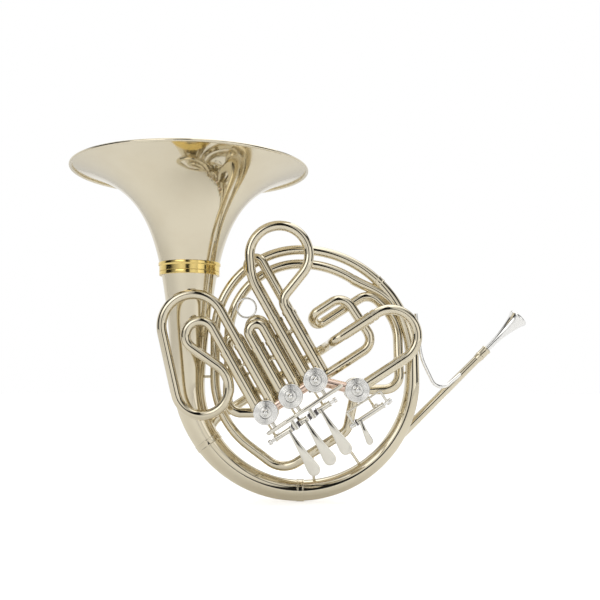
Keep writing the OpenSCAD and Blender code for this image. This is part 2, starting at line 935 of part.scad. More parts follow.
// ---------- levers ----------

rod_d = 4;
hub_d = 8;
lever_t = 2.2;
lever_mid_x = -1;

function lever_x(i) = i == 3 ? valve_places[3].x - 18 : lever_mid_x + (1 - i) * lever_pitch;

// Hub on the hinge rod, tail back to the link, stem and paddle out to the finger
module lever(i, reach, paddle_lean, paddle_w = 16) {
    x = lever_x(i);
    tail_x = link_x(i) + 5;
    x0 = min(x, tail_x) - 4;
    x1 = max(x, tail_x) + 4;
    bore = rod_d + 2 * slide_gap;
    color("gainsboro")
        on_row(hinge_y)
            translate([0, 0, hinge_height(i)]) {
                difference() {
                    union() {
                        translate([x0, 0, 0])
                            rotate([0, 90, 0])
                                cylinder(d = hub_d, h = x1 - x0);
                        translate([tail_x - 1.5, 0, -2.5])
                            cube([3, tail_len + 2.5, 5]);
                        translate([x, 0, 0])
                            rotate([0, paddle_lean, 0])
                                translate([-2.5, -hub_d / 2, -reach + paddle_w])
                                    cube([5, lever_t, reach - paddle_w]);
                    }
                    translate([x0 - 1, 0, 0])
                        rotate([0, 90, 0])
                            cylinder(d = bore, h = x1 - x0 + 2);
                }
                translate([link_x(i) - 2.5, tail_len, 0])
                    rotate([0, 90, 0])
                        cylinder(d = arm_pin_d, h = 7);
                translate([x, -hub_d / 2, 0])
                    rotate([0, paddle_lean, 0])
                        paddle(reach, paddle_w);
            }
}

module paddle(reach, paddle_w) {
    hull() {
        translate([0, 0, -reach + paddle_w / 2])
            rotate([-90, 0, 0])
                cylinder(d = paddle_w, h = lever_t, $fn = 32);
        translate([0, 0, -reach + 2.1 * paddle_w])
            rotate([-90, 0, 0])
                cylinder(d = 5, h = lever_t, $fn = 32);
    }
}

module lever_1() { lever(0, lever_len, 0); }
module lever_2() { lever(1, lever_len, 0); }
module lever_3() { lever(2, lever_len, 0); }
module thumb_lever() { lever(3, lever_len / 2, -8, 9); }

rod_ends = [-50, 42];
thumb_rod_ends = [valve_places[3].x - 28.5, valve_places[3].x + 25];

module hinge_rod(ends, z) {
    knob_d = 7;
    on_row(hinge_y)
        translate([ends.x, 0, z])
            rotate([0, 90, 0]) {
                cylinder(d = rod_d, h = ends.y - ends.x);
                translate([0, 0, -3]) cylinder(d = knob_d, h = 3);
                translate([0, 0, ends.y - ends.x]) cylinder(d = knob_d, h = 3);
            }
}

module hinge_rods() {
    color("silver") {
        hinge_rod(rod_ends, hinge_height(0));
        hinge_rod(thumb_rod_ends, hinge_height(3));
    }
}

saddle_w = 5;
saddle_xs = [-15, 11];
bar_w = 5;

// The bar runs along the row, two saddles hold the hinge rod and lugs reach the casings
module lever_stand() {
    bar_z = hinge_z + 8;
    color("whitesmoke")
        on_row(hinge_y) {
            translate([rod_ends.x, -bar_w / 2, bar_z])
                cube([rod_ends.y - rod_ends.x + 20, bar_w, bar_w]);
            for (x = saddle_xs)
                difference() {
                    translate([x - saddle_w / 2, -4, hinge_z - 5])
                        cube([saddle_w, 8, bar_z + bar_w - hinge_z + 5]);
                    translate([x - saddle_w, 0, hinge_z])
                        rotate([0, 90, 0])
                            cylinder(d = rod_d, h = 2 * saddle_w);
                }
            for (p = [valve_places[0], valve_places[1], valve_places[2]])
                translate([p.x - 3, 2, bar_z + 2])
                    cube([6, 6, -bar_z - 2 - casing_od / 2 + 0.8]);
        }
    thumb_bracket();
}

// Two posts for the thumb lever's rod, on a crossbar under the change valve
module thumb_bracket() {
    post_w = 4;
    bar_z = -change_drop - casing_od / 2 - 3;
    color("whitesmoke")
        on_row(hinge_y) {
            for (x = [thumb_rod_ends.x, thumb_rod_ends.y - post_w])
                difference() {
                    translate([x, -3, hinge_height(3) - 4])
                        cube([post_w, 11, bar_z - hinge_height(3) + 4]);
                    translate([x - 1, 0, hinge_height(3)])
                        rotate([0, 90, 0])
                            cylinder(d = rod_d, h = post_w + 2);
                }
            translate([thumb_rod_ends.x, 2, bar_z])
                cube([thumb_rod_ends.y - thumb_rod_ends.x, 6, 3.5]);
        }
}

spring_wire = 0.9;
module coil(x0, turns, z) {
    on_row(hinge_y)
        for (k = [0:turns - 1])
            translate([x0 + k * spring_wire * 1.15, 0, z])
                rotate([0, 90, 0])
                    rotate_extrude()
                        translate([rod_d / 2 + 0.9, 0])
                            circle(d = spring_wire, $fn = 24);
}

module lever_springs() {
    color("dimgray") {
        coil(14.3, 4, hinge_z);
        coil(4.8, 4, hinge_z);
        coil(-19.5, 2, hinge_z);
        coil(thumb_rod_ends.x + 4.7, 2, hinge_height(3));
    }
}

bell_flare();
bell_ring_upper();
bell_ring_lower();
bell_tail();
bell_branch();
return_tube();
f_crook();
cross_tube();
inner_arc();
leadpipe();
guard_wire();
mouthpiece_receiver();
mouthpiece();
ferrules();
braces();
main_slide_sleeves();
main_tuning_slide();
f_slide_sleeves();
f_slide_1();
f_slide_2();
f_slide_3();
bb_slide_sleeves();
bb_slide_1();
bb_slide_2();
bb_slide_3();
pull_ring();
valve_casing_1();
valve_casing_2();
valve_casing_3();
change_valve_casing();
valve_knuckles();
valve_caps();
valve_back_plates();
stop_bumpers();
rotor_1();
rotor_2();
rotor_3();
change_rotor();
stop_arm_1();
stop_arm_2();
stop_arm_3();
change_stop_arm();
link_1();
link_2();
link_3();
change_link();
lever_1();
lever_2();
lever_3();
thumb_lever();
lever_stand();
hinge_rods();
lever_springs();
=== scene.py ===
"""Looks of a double horn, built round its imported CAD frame. Metres; +Z is up the bell axis."""
import json
import math

import bmesh
import bpy
from mathutils import Matrix, Vector


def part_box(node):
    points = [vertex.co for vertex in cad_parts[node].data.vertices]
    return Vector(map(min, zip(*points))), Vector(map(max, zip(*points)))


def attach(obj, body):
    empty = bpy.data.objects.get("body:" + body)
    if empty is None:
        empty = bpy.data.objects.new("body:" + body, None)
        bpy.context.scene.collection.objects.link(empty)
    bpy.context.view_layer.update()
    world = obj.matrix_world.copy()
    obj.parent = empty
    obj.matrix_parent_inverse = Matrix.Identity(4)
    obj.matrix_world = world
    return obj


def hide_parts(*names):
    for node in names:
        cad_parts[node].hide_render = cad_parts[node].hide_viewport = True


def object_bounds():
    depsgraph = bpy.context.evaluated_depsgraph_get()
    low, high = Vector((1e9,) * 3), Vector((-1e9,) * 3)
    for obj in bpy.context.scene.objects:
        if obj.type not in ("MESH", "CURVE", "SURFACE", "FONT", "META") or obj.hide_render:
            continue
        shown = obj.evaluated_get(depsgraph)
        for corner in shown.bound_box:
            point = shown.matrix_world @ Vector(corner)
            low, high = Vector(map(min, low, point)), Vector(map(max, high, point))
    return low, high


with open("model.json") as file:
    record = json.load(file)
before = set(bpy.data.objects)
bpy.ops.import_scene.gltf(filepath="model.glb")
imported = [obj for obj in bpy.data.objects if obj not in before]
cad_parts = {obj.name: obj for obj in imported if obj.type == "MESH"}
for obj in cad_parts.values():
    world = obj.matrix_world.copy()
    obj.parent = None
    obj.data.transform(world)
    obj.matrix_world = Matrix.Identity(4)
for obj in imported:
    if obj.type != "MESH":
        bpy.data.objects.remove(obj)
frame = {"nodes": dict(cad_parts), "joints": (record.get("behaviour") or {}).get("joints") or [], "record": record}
cad_low, cad_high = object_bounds()
nodes = frame["nodes"]
joints = {joint["name"]: joint for joint in frame["joints"]}

MM = 0.001
SHARP_ANGLE = math.radians(32)


# ---------- dimensions read from the frame ----------

flare_low, flare_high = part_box("bell_flare")
tail_low, tail_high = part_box("bell_tail")
branch_low, branch_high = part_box("bell_branch")

mouth_r = flare_high.x
sheet_t = 0.9 * MM
taper_floor = 2 * MM
tube_r = 6.4 * MM

# The bell narrows as floor + (mouth - floor) * depth / (s + depth), a distance s below the mouth
tail_start = -tail_high.z
tail_top_r = -tail_low.x
flare_depth = (tail_top_r - taper_floor) * tail_start / (mouth_r - tail_top_r)

# The wrap's tube is a half circle below, a short rise, and an arc above
wrap_r = tail_high.x
wrap_depth = -branch_low.z - branch_high.y - wrap_r
wrap_top_z = branch_high.z - (wrap_r + tube_r) * math.sin(math.pi / 4)
wrap_rise = wrap_top_z + wrap_depth
tail_end = wrap_depth + wrap_r * math.pi / 2
branch_end = wrap_depth + wrap_r * math.pi + wrap_rise + wrap_r * math.pi / 4

# The valve row stands on the middle valve
row_angle = math.radians(33)
valve_low, valve_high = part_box("valve_casing_2")
valve_home = (valve_low + valve_high) / 2
row_frame = Matrix.Translation((valve_home.x, 0, valve_home.z)) @ Matrix.Rotation(-row_angle, 4, "Y")
to_row = row_frame.inverted()
casing_r = (valve_high.x - valve_low.x) / 2
casing_front = valve_low.y


CASINGS = ("valve_casing_1", "valve_casing_2", "valve_casing_3", "change_valve_casing")

# Sizes that the frame doesn't give, the same as in the CAD
LEVER_MID_X = -1 * MM
LEVER_PITCH = 23.5 * MM
LEVER_LEN = 65 * MM
PADDLE_R = 8 * MM
THUMB_PADDLE_R = 4.5 * MM
STOP_ARM_R = 10.6 * MM
SADDLE_XS = (-15 * MM, 11 * MM)
FINGER_ROD_X = (-50 * MM, 42 * MM)
THUMB_ROD_X = (-28.5 * MM, 25 * MM)
RECEIVER_END = Vector((0.399, 0.026, -0.239))
INNER_R = 128 * MM
LEG_PITCH = 20 * MM
SLEEVE_R = 7 * MM

# For each deck: its slides' prefix, their shift across the valve, and where each pair's brace sits
DECKS = (("f", 2 * MM, (70, 52, 66)), ("bb", 5 * MM, (68, 56, 54)))


def bell_r(s):
    """Outside radius of the bell at a distance s from its mouth."""
    return taper_floor + (mouth_r - taper_floor) * flare_depth / (s + flare_depth)


# ---------- mesh building ----------

def add_piece(name, verts, faces, material, body, replaced=()):
    """Links a closed, smooth-shaded mesh that rides on a body."""
    mesh = bpy.data.meshes.new(name)
    mesh.from_pydata(verts, [], faces)
    shape = bmesh.new()
    shape.from_mesh(mesh)
    bmesh.ops.remove_doubles(shape, verts=shape.verts, dist=1e-7)
    bmesh.ops.dissolve_degenerate(shape, edges=shape.edges, dist=1e-8)
    bmesh.ops.recalc_face_normals(shape, faces=shape.faces)
    shape.to_mesh(mesh)
    shape.free()
    mesh.shade_smooth()
    mesh.set_sharp_from_angle(angle=SHARP_ANGLE)
    mesh.materials.append(material)
    piece = bpy.data.objects.new(name, mesh)
    bpy.context.scene.collection.objects.link(piece)
    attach(piece, body)
    if replaced:
        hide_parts(*replaced)
    return piece


class Shape:
    """Collects the vertices and faces of one piece."""

    def __init__(self):
        self.verts = []
        self.faces = []

    def grid(self, rings, close_ends):
        """Skins a list of equal rings; the last ring joins the first, or the ends are capped."""
        base = len(self.verts)
        sides = len(rings[0])
        for ring in rings:
            self.verts.extend(ring)
        spans = len(rings) - 1 if close_ends else len(rings)
        for i in range(spans):
            here = base + i * sides
            there = base + (i + 1) % len(rings) * sides
            for k in range(sides):
                after = (k + 1) % sides
                self.faces.append((here + k, here + after, there + after, there + k))
        if close_ends:
            self.faces.append(tuple(base + k for k in range(sides)))
            last = base + (len(rings) - 1) * sides
            self.faces.append(tuple(last + k for k in range(sides)))

    def lathe(self, profile, place, sides=96):
        """Turns a closed outline of (radius, height) pairs about the place's Z axis."""
        rings = []
        for radius, height in profile:
            ring = []
            for k in range(sides):
                a = 2 * math.pi * k / sides
                ring.append(place @ Vector((radius * math.cos(a), radius * math.sin(a), height)))
            rings.append(ring)
        self.grid(rings, close_ends=False)

    def tube(self, centres, normals, binormals, radii, sides=48, wall=None):
        """A tube through centres; with a wall it is hollow, else it is a solid rod."""
        outside = ring_path(centres, normals, binormals, radii, sides)
        if wall is None:
            self.grid(outside, close_ends=True)
            return
        inner_radii = [r - wall for r in radii]
        inside = ring_path(centres, normals, binormals, inner_radii, sides)
        self.grid(outside + inside[::-1], close_ends=False)

    def add(self, name, material, slot, body, replaced=()):
        return add_piece(name, self.verts, self.faces, material, body, replaced)


def ring_path(centres, normals, binormals, radii, sides):
    rings = []
    for c, n, b, r in zip(centres, normals, binormals, radii):
        ring = []
        for k in range(sides):
            a = 2 * math.pi * k / sides
            ring.append(c + n * (r * math.cos(a)) + b * (r * math.sin(a)))
        rings.append(ring)
    return rings


def along(origin, direction):
    """A frame at the origin whose Z axis points in the direction."""
    turn = Vector(direction).to_track_quat("Z", "Y").to_matrix().to_4x4()
    return Matrix.Translation(origin) @ turn


def arc(centre, radius, start, end, steps):
    """Points of an arc as (x, y) pairs, angles in degrees."""
    points = []
    for i in range(steps + 1):
        a = math.radians(start + (end - start) * i / steps)
        points.append((centre[0] + radius * math.cos(a), centre[1] + radius * math.sin(a)))
    return points


def rounded(corners, radius, steps=4):
    """Rounds the corners of a closed outline of (x, y) pairs."""
    points = []
    count = len(corners)
    for i in range(count):
        before = Vector(corners[i - 1])
        here = Vector(corners[i])
        after = Vector(corners[(i + 1) % count])
        back = before - here
        ahead = after - here
        reach = min(radius, back.length * 0.45, ahead.length * 0.45)
        if here.x < 1e-6 or reach < 1e-6:
            points.append(tuple(here))
            continue
        a = here + back.normalized() * reach
        b = here + ahead.normalized() * reach
        for k in range(steps + 1):
            t = k / steps
            points.append(tuple(a * (1 - t) ** 2 + here * (2 * t * (1 - t)) + b * t ** 2))
    return points


def smooth_curve(knots, steps=8):
    """A Catmull-Rom curve through (x, y) pairs."""
    points = []
    for i in range(len(knots) - 1):
        p0 = Vector(knots[max(i - 1, 0)])
        p1 = Vector(knots[i])
        p2 = Vector(knots[i + 1])
        p3 = Vector(knots[min(i + 2, len(knots) - 1)])
        for k in range(steps):
            t = k / steps
            points.append(tuple(0.5 * (
                2 * p1 + (p2 - p0) * t + (2 * p0 - 5 * p1 + 4 * p2 - p3) * t ** 2
                + (3 * p1 - p0 - 3 * p2 + p3) * t ** 3
            )))
    points.append(tuple(knots[-1]))
    return points


# ---------- materials ----------

def metal(name, colour, tint, roughness, brushed=0.0, wear=0.35):
    """A polished metal with faint clouding, handling marks in its shine and a fine hairline finish."""
    material = bpy.data.materials.new(name)
    material.use_nodes = True
    tree = material.node_tree
    make = tree.nodes.new
    link = tree.links.new
    shader = tree.nodes["Principled BSDF"]
    shader.inputs["Metallic"].default_value = 1.0
    where = make("ShaderNodeTexCoord")

    clouds = make("ShaderNodeTexNoise")
    clouds.inputs["Scale"].default_value = 14
    clouds.inputs["Detail"].default_value = 5
    clouds.inputs["Roughness"].default_value = 0.6
    link(where.outputs["Object"], clouds.inputs["Vector"])
    cloud_range = make("ShaderNodeMapRange")
    cloud_range.inputs["From Min"].default_value = 0.42
    cloud_range.inputs["From Max"].default_value = 0.72
    cloud_range.inputs["To Max"].default_value = wear
    link(clouds.outputs["Fac"], cloud_range.inputs["Value"])
    blend = make("ShaderNodeMix")
    blend.data_type = "RGBA"
    blend.inputs["A"].default_value = (*colour, 1)
    blend.inputs["B"].default_value = (*tint, 1)
    link(cloud_range.outputs["Result"], blend.inputs["Factor"])
    link(blend.outputs["Result"], shader.inputs["Base Color"])

    marks = make("ShaderNodeTexNoise")
    marks.inputs["Scale"].default_value = 75
    marks.inputs["Detail"].default_value = 6
    link(where.outputs["Object"], marks.inputs["Vector"])
    shine = make("ShaderNodeMapRange")
    shine.inputs["From Min"].default_value = 0.35
    shine.inputs["From Max"].default_value = 0.7
    shine.inputs["To Min"].default_value = roughness * 0.75
    shine.inputs["To Max"].default_value = roughness * 1.5
    link(marks.outputs["Fac"], shine.inputs["Value"])
    link(shine.outputs["Result"], shader.inputs["Roughness"])

    if brushed > 0:
        hair = make("ShaderNodeTexNoise")
        hair.inputs["Scale"].default_value = 1400
        hair.inputs["Detail"].default_value = 2
        link(where.outputs["Object"], hair.inputs["Vector"])
        bump = make("ShaderNodeBump")
        bump.inputs["Strength"].default_value = brushed
        bump.inputs["Distance"].default_value = 0.02 * MM
        link(hair.outputs["Fac"], bump.inputs["Height"])
        link(bump.outputs["Normal"], shader.inputs["Normal"])
    return material


def cork_material():
    """Brown cork with darker pits."""
    material = bpy.data.materials.new("cork_grain")
    material.use_nodes = True
    tree = material.node_tree
    shader = tree.nodes["Principled BSDF"]
    shader.inputs["Roughness"].default_value = 0.9
    where = tree.nodes.new("ShaderNodeTexCoord")
    cells = tree.nodes.new("ShaderNodeTexVoronoi")
    cells.inputs["Scale"].default_value = 900
    tree.links.new(where.outputs["Object"], cells.inputs["Vector"])
    ramp = tree.nodes.new("ShaderNodeValToRGB")
    ramp.color_ramp.elements[0].color = (0.30, 0.16, 0.07, 1)
    ramp.color_ramp.elements[1].color = (0.62, 0.42, 0.24, 1)
    tree.links.new(cells.outputs["Distance"], ramp.inputs["Fac"])
    tree.links.new(ramp.outputs["Color"], shader.inputs["Base Color"])
    bump = tree.nodes.new("ShaderNodeBump")
    bump.inputs["Strength"].default_value = 0.6
    bump.inputs["Distance"].default_value = 0.15 * MM
    tree.links.new(cells.outputs["Distance"], bump.inputs["Height"])
    tree.links.new(bump.outputs["Normal"], shader.inputs["Normal"])
    return material


NICKEL = metal("nickel_silver_polished", (0.77, 0.70, 0.54), (0.68, 0.59, 0.42), 0.055, wear=0.4)
LEVER_NICKEL = metal("nickel_silver_levers", (0.83, 0.80, 0.71), (0.74, 0.69, 0.58), 0.10, wear=0.4)
NICKEL_SATIN = metal("nickel_silver_machined", (0.82, 0.78, 0.68), (0.72, 0.66, 0.55), 0.17, brushed=0.25)
SILVER = metal("silver_plate_bright", (0.93, 0.92, 0.89), (0.84, 0.81, 0.74), 0.07, wear=0.25)
SILVER_SATIN = metal("silver_plate_turned", (0.92, 0.91, 0.88), (0.82, 0.80, 0.75), 0.12, brushed=0.1)
GOLD = metal("gold_brass_lacquered", (0.91, 0.70, 0.26), (0.84, 0.60, 0.20), 0.12, wear=0.4)
ROSE = metal("rose_brass_polished", (0.86, 0.66, 0.55), (0.77, 0.56, 0.44), 0.12, wear=0.4)
BRONZE = metal("rotor_bronze_ground", (0.72, 0.54, 0.33), (0.60, 0.44, 0.27), 0.24, brushed=0.3)
SPRING = metal("spring_steel_blued", (0.16, 0.15, 0.16), (0.26, 0.24, 0.23), 0.30, brushed=0.2)
CORK = cork_material()

SLOT_LOOKS = {
    "nickel_silver": NICKEL,
    "silver_plate": SILVER,
    "gold_brass": GOLD,
    "rose_brass": ROSE,
    "rotor_bronze": BRONZE,
    "spring_steel": SPRING,
    "cork": CORK,
}


def dress_frame():
    """Gives every CAD node the look of the material slot that the record names for it."""
    for part in frame["record"]["subparts"]:
        mesh = nodes[part["node"]].data
        mesh.materials.clear()
        mesh.materials.append(SLOT_LOOKS[part["material_slot"]])


# ---------- bell ----------

def bell_flare():
    """The flare as a thin sheet, rolled over a wire at the rim."""
    bead_r = 2 * MM
    bead = (mouth_r - bead_r, -bead_r)
    lip_s = 1 * MM
    end_s = -flare_low.z
    rings = 90
    stops = []
    for i in range(rings + 1):
        stops.append(lip_s + (end_s - lip_s) * (i / rings) ** 2)
    outer = [(bell_r(s), -s) for s in stops]
    inner = []
    for s, (r, z) in zip(stops, outer):
        slope = (mouth_r - taper_floor) * flare_depth / (s + flare_depth) ** 2
        inward = Vector((-1, slope)).normalized() * sheet_t
        inner.append((r + inward.x, z + inward.y))
    wire = arc(bead, bead_r, 150, 450, 28)
    shape = Shape()
    shape.lathe(outer[::-1] + wire + inner[2:], Matrix.Identity(4), sides=256)
    return shape.add("bell_flare_sheet", NICKEL, "nickel_silver", "bell", ["bell_flare"])


def wrap_state(s):
    """Centre of the wrap's tube, and the direction across it, at a distance from the mouth."""
    if s < wrap_depth:
        return Vector((0, 0, -s)), Vector((1, 0, 0))
    low_turn = (s - wrap_depth) / wrap_r
    if low_turn < math.pi:
        across = Vector((math.cos(low_turn), 0, math.sin(low_turn)))
        return Vector((wrap_r, 0, -wrap_depth)) - across * wrap_r, across
    turn = max(math.pi, (s - wrap_depth - wrap_rise) / wrap_r)
    across = Vector((math.cos(turn), 0, math.sin(turn)))
    if turn == math.pi:
        return Vector((2 * wrap_r, 0, s - 2 * wrap_depth - wrap_r * math.pi)), across
    return Vector((wrap_r, 0, wrap_top_z)) - across * wrap_r, across


def wrap_tube_r(s):
    part = max(0.0, (s - tail_end) / (branch_end - tail_end))
    return bell_r(s) - (bell_r(branch_end) - tube_r) * part ** 3


def wrap_taper(name, s0, s1, steps, node):
    """A smooth tapered length of the wrap."""
    centres = []
    across = []
    radii = []
    for i in range(steps + 1):
        s = s0 + (s1 - s0) * i / steps
        centre, side = wrap_state(s)
        centres.append(centre)
        across.append(side)
        radii.append(wrap_tube_r(s))
    level = [Vector((0, 1, 0))] * (steps + 1)
    shape = Shape()
    shape.tube(centres, across, level, radii, sides=72, wall=sheet_t)
    return shape.add(name, NICKEL, "nickel_silver", "body", [node])


def bell_rings():
    """The screw ring: a lipped upper half on the bell and a plain lower half on the body."""
    for node, body in (("bell_ring_upper", "bell"), ("bell_ring_lower", "body")):
        low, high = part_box(node)
        shape = Shape()
        if body == "bell":
            band_r = high.x - 1.2 * MM
            outline = [
                (bell_r(-low.z) + 1.3 * MM, low.z), (band_r, low.z), (band_r, high.z - 5.2 * MM),
                (high.x, high.z - 3.8 * MM), (high.x, high.z - 0.6 * MM), (high.x - 1 * MM, high.z),
                (bell_r(-high.z), high.z), (bell_r(-low.z - 9 * MM), low.z + 9 * MM),
            ]
        else:
            seat_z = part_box("bell_ring_upper")[0].z - 0.2 * MM
            inner_r = bell_r(-seat_z) - sheet_t
            outline = [
                (inner_r, high.z), (inner_r + 2 * MM, high.z), (inner_r + 2 * MM, seat_z),
                (high.x, seat_z), (high.x, low.z), (inner_r, low.z),
            ]
        shape.lathe(rounded(outline, 0.45 * MM), Matrix.Identity(4), sides=192)
        shape.add(node + "_band", GOLD, "gold_brass", body, [node])


# ---------- valves ----------

def turned(name, outline, places, material, slot, body, replaced, corner=0.4 * MM, sides=96):
    """One lathe outline with rounded corners, set at each of several places."""
    shape = Shape()
    for place in places:
        shape.lathe(rounded(outline, corner), place, sides)
    return shape.add(name, material, slot, body, replaced)


def valve_frames():
    """A frame at each valve's front face, with Z towards the player's side."""
    frames = []
    for node in CASINGS:
        low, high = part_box(node)
        frames.append(along(((low.x + high.x) / 2, casing_front, (low.z + high.z) / 2), (0, -1, 0)))
    return frames


def valve_caps():
    """Domed screw caps: a bright rim, fine turned rings, a sunk groove and a round nub."""
    rim_r = casing_r + 0.6 * MM
    profile = [(0, 0), (rim_r, 0), (rim_r, 1.9 * MM), (rim_r - 0.8 * MM, 2.7 * MM)]
    ring_count = 7
    ring_span = (rim_r - 1.4 * MM - 0.5 * rim_r) / ring_count
    for k in range(ring_count):
        r = rim_r - 1.4 * MM - k * ring_span
        crown = (2.8 + 0.12 * k) * MM
        profile.append((r, crown))
        profile.append((r - 0.55 * ring_span, crown + 0.12 * MM))
        profile.append((r - 0.8 * ring_span, crown - 0.1 * MM))
    hub_r = 0.42 * rim_r
    profile += [(hub_r + 0.9 * MM, 2.9 * MM), (hub_r, 4 * MM)]
    profile += [(0.34 * rim_r, 4.3 * MM), (0.30 * rim_r, 3.7 * MM)]
    profile += [(r, z + 3.6 * MM) for r, z in arc((0, 0), 0.25 * rim_r, 8, 90, 10)]
    turned("valve_cap_discs", profile, valve_frames(), SILVER_SATIN, "silver_plate", "body",
           ["valve_caps"], 0.25 * MM)


def valve_casings():
    """Casings with a raised band at each end."""
    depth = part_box("valve_casing_2")[1].y - casing_front
    bore = casing_r - 1.5 * MM
    band = 5 * MM
    proud = 0.55 * MM
    outline = [
        (bore, 0), (casing_r + proud, 0), (casing_r + proud, -band), (casing_r, -band - 0.7 * MM),
        (casing_r, -depth + band + 0.7 * MM), (casing_r + proud, -depth + band), (casing_r + proud, -depth),
        (bore, -depth),
    ]
    for node, place in zip(CASINGS, valve_frames()):
        turned(node + "_shell", outline, [place], NICKEL, "nickel_silver", "body", [node], 0.3 * MM)


def back_plates():
    """Bearing plates with a stepped boss round the stem."""
    low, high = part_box("valve_back_plates")
    start = high.y - casing_front
    thick = high.y - low.y
    stem = 3.55 * MM
    outline = [
        (stem, -start), (stem + 2.6 * MM, -start), (stem + 3.2 * MM, -start + 1 * MM),
        (casing_r - 1.2 * MM, -start + 1.2 * MM), (casing_r, -start + 2 * MM), (casing_r, -start + thick),
        (stem, -start + thick),
    ]
    turned("bearing_plates", outline, valve_frames(), NICKEL_SATIN, "nickel_silver", "body",
           ["valve_back_plates"])


# ---------- levers ----------

def loft(shape, stations, sides=28):
    """A rounded bar through stations of (centre, half width, half thickness, across, face)."""
    rings = []
    for centre, half_w, half_t, across, face in stations:
        ring = []
        for k in range(sides):
            a = 2 * math.pi * k / sides
            c, s = math.cos(a), math.sin(a)
            squarish = 0.75
            u = math.copysign(abs(c) ** squarish, c) * half_w
            v = math.copysign(abs(s) ** squarish, s) * half_t
            ring.append(centre + across * u + face * v)
        rings.append(ring)
    shape.grid(rings, close_ends=True)


def row_at(x, y, z):
    """A point given along, across and above the valve row."""
    return row_frame @ Vector((x, y, z))


def hinge_place(joint):
    """Where a lever's hinge sits, in the row's frame."""
    return to_row @ Vector(joints[joint]["pos_m"])


def lever_hub(shape, hinge, x0, x1):
    """The tube on the hinge rod, with a collar at each end."""
    place = along(row_at(x0, hinge.y, hinge.z), row_frame.to_3x3() @ Vector((1, 0, 0)))
    length = x1 - x0
    bore = 2.05 * MM
    body_r = 3.4 * MM
    collar_r = 4.0 * MM
    collar = 1.6 * MM
    outline = [
        (bore, 0), (collar_r, 0), (collar_r, collar), (body_r, collar + 0.5 * MM),
        (body_r, length - collar - 0.5 * MM), (collar_r, length - collar), (collar_r, length),
        (bore, length),
    ]
    shape.lathe(rounded(outline, 0.3 * MM), place, 48)


def finger_lever(node, body, hinge, x, tail_x, reach, lean, tip_r=PADDLE_R):
    """Hub, tail back to the link, and a long stem that widens to a teardrop paddle."""
    shape = Shape()
    across = row_frame.to_3x3() @ Vector((1, 0, 0))
    up = row_frame.to_3x3() @ Vector((0, 0, 1))
    front = Vector((0, -1, 0))
    lever_hub(shape, hinge, min(x, tail_x) - 4 * MM, max(x, tail_x) + 4 * MM)

    tail_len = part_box(node)[1].y - 1.5 * MM - hinge.y
    stations = []
    for k in range(13):
        share = k / 12
        centre = row_at(tail_x, hinge.y + 1.5 * MM + share * (tail_len + 0.5 * MM), hinge.z)
        half = (2.6 - 0.9 * math.sin(math.pi * share)) * MM
        stations.append((centre, 1.4 * MM, half, across, up))
    loft(shape, stations)
    pin = along(row_at(tail_x - 7.4 * MM, hinge.y + tail_len, hinge.z), across)
    shape.lathe(rounded([(0, 0), (1.5 * MM, 0), (1.5 * MM, 7 * MM), (0, 7 * MM)], 0.3 * MM), pin, 24)

    tilt = Matrix.Rotation(lean, 3, front)
    down = tilt @ -up
    side = tilt @ across
    root = row_at(x, hinge.y, hinge.z) + front * 3 * MM
    stations = []
    stem_r = 2.1 * MM
    count = 48
    for k in range(count + 1):
        share = k / count
        distance = share * reach
        swell = max(0.0, (share - 0.05) / 0.78)
        half_w = stem_r + (tip_r - stem_r) * min(1.0, swell) ** 1.35
        to_end = (1 - share) * reach
        if to_end < tip_r:
            half_w = min(half_w, math.sqrt(max(0.0, tip_r ** 2 - (tip_r - to_end) ** 2)))
        half_w = max(half_w, 0.35 * MM)
        half_t = min(1.1 * MM, 0.35 * MM + half_w * 0.5)
        sag = math.sin(math.pi * min(1.0, share * 1.15)) * 2.2 * MM
        centre = root + down * distance + front * sag
        stations.append((centre, half_w, half_t, side, front))
    loft(shape, stations)
    shape.add(node + "_blade", LEVER_NICKEL, "nickel_silver", body, [node])


def levers():
    pin_reach = STOP_ARM_R * (1 + math.cos(math.pi / 4)) / 2
    for i, number in enumerate(("1", "2", "3")):
        hinge = hinge_place(f"finger_lever_{number}_press")
        x = LEVER_MID_X + (1 - i) * LEVER_PITCH
        tail_x = hinge.x - pin_reach + 5 * MM
        finger_lever("lever_" + number, "finger_lever_" + number, hinge, x, tail_x, LEVER_LEN, 0)
    hinge = hinge_place("thumb_lever_press")
    x = hinge.x - 18 * MM
    tail_x = hinge.x + pin_reach + 5 * MM
    reach = LEVER_LEN / 2
    finger_lever("thumb_lever", "thumb_lever", hinge, x, tail_x, reach, math.radians(-8), THUMB_PADDLE_R)


def lever_furniture():
    """Springs and rods, placed by the levers' joints."""
    finger_hinge = hinge_place("finger_lever_1_press")
    thumb_hinge = hinge_place("thumb_lever_press")
    springs(finger_hinge, thumb_hinge)
    hinge_rods(finger_hinge, thumb_hinge)


def coil_spring(shape, hinge, x0, x1, turns):
    """A helix of wire round the hinge rod, with a straight leg at each end."""
    coil_r = 3.4 * MM
    wire_r = 0.5 * MM
    steps = turns * 24
    leg = 5 * MM
    points = []
    for k in range(steps + 1):
        a = 2 * math.pi * k / 24
        x = x0 + wire_r + (x1 - x0 - 2 * wire_r) * k / steps
        points.append(Vector((x, hinge.y + coil_r * math.cos(a), hinge.z + coil_r * math.sin(a))))
    points.insert(0, points[0] - Vector((0, 0, leg)))
    points.append(points[-1] + Vector((0, 0, leg)))
    centres = [row_frame @ point for point in points]
    normals = []
    binormals = []
    for k in range(len(centres)):
        ahead = centres[min(k + 1, len(centres) - 1)]
        behind = centres[max(k - 1, 0)]
        way = (ahead - behind).normalized()
        side = row_frame.to_3x3() @ Vector((1, 0, 0))
        normal = (side - way * side.dot(way)).normalized()
        normals.append(normal)
        binormals.append(way.cross(normal))
    shape.tube(centres, normals, binormals, [wire_r] * len(centres), sides=10)


